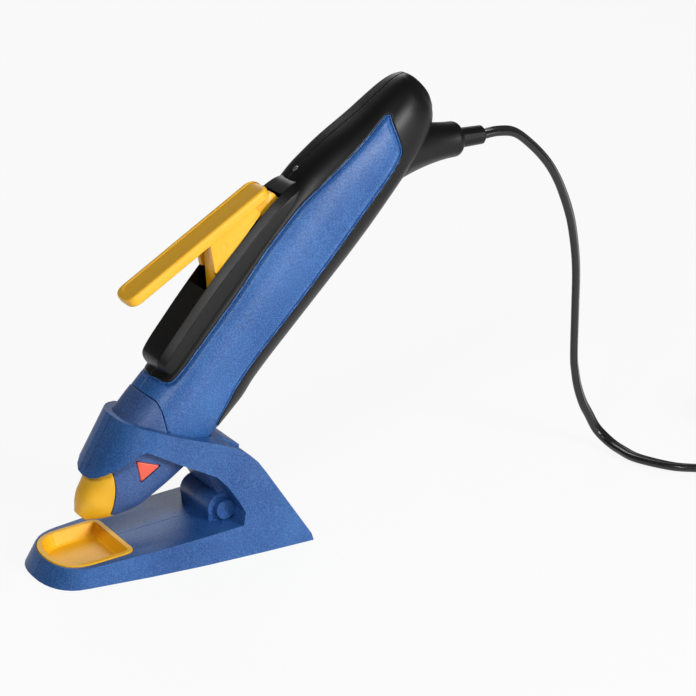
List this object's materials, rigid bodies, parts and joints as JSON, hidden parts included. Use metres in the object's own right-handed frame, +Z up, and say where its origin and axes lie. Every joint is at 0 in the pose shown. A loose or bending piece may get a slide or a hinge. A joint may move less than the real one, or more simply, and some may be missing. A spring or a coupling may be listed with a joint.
{
  "type": "hot glue applicator",
  "caption": "Pen-shaped hot glue applicator with a finger lever, parked nose down in a desk stand over a lift-out drip tray, with its mains cord.",
  "frame": {"origin": "on the desk, midway between the stand's nose and the end of the cord snout, on the middle plane", "axes": "+X from the stand's nose towards the cord end, +Z up; the pen rises towards +X at 44.8 degrees"},
  "size_m": [0.455, 0.0844, 0.1777],
  "materials": {
    "blue_plastic": "fine-grained",
    "yellow_plastic": "satin",
    "grip_rubber": "satin",
    "black_plastic": "satin",
    "coral_plastic": "satin",
    "clear_lens": "polished",
    "silicone": "matte",
    "wire_sleeve": "woven sleeve",
    "ceramic": "unglazed ceramic",
    "brass": "turned",
    "aluminium": "cast",
    "steel": "plated",
    "cord_jacket": "extruded"
  },
  "bodies": {
    "stand": {"stand_left": "blue_plastic", "stand_right": "blue_plastic", "stand_screw_1": "steel", "stand_screw_2": "steel", "stand_screw_3": "steel", "cord": "cord_jacket", "cord_coil": "cord_jacket", "plug": "black_plastic", "plug_pin_left": "brass", "plug_pin_right": "brass"},
    "tray": {"drip_tray": "yellow_plastic"},
    "pen": {"housing_left": "blue_plastic", "housing_right": "blue_plastic", "grip_left": "grip_rubber", "grip_right": "grip_rubber", "nose_cover": "blue_plastic", "nozzle_cap": "yellow_plastic", "triangle_inlay_left": "coral_plastic", "triangle_inlay_right": "coral_plastic", "housing_screw_1": "steel", "housing_screw_2": "steel", "housing_screw_3": "steel", "housing_screw_4": "steel", "nozzle": "brass", "melt_chamber": "aluminium", "heater_plate": "ceramic", "heater_clamp": "steel", "stick_sleeve": "silicone", "guide_tube": "black_plastic", "entry_ring": "black_plastic", "lever_pivot_pin": "steel", "return_spring": "steel", "indicator_lens": "clear_lens", "heater_wire_left": "wire_sleeve", "heater_wire_right": "wire_sleeve", "cord_clamp": "black_plastic", "strain_relief": "grip_rubber"},
    "trigger": {"lever": "yellow_plastic", "link_pin": "steel"},
    "link": {"link": "steel"},
    "feed": {"feed_carriage": "black_plastic", "stick_gripper": "silicone", "carriage_pin": "steel"}
  },
  "joints": [
    {"name": "pen_lift", "type": "slide", "parent": "stand", "child": "pen", "axis": [0.7096, 0, 0.7046], "range_m": [0, 0.09]},
    {"name": "tray_lift", "type": "slide", "parent": "stand", "child": "tray", "axis": [-0.0755, 0, 0.9971], "range_m": [0, 0.007]},
    {"name": "lever_pull", "type": "hinge", "parent": "pen", "child": "trigger", "pos_m": [0.01009, 0, 0.13127], "axis": [0, -1, 0], "range_deg": [0, 16], "stiffness_Nm_per_rad": 0.5, "springref_deg": -11.46},
    {"name": "link_swing", "type": "hinge", "parent": "trigger", "child": "link", "pos_m": [-0.01392, 0, 0.12166], "axis": [0, -1, 0], "range_deg": [-41, 0]},
    {"name": "feed_slide", "type": "slide", "parent": "pen", "child": "feed", "axis": [-0.7096, 0, -0.7046], "range_m": [0, 0.008], "deforming": ["return_spring"]}
  ],
  "couplings": [
    {"joint": "link_swing", "follows": "lever_pull", "ratio": -2.4408},
    {"joint": "feed_slide", "follows": "lever_pull", "m_per_rad": 0.02701}
  ]
}
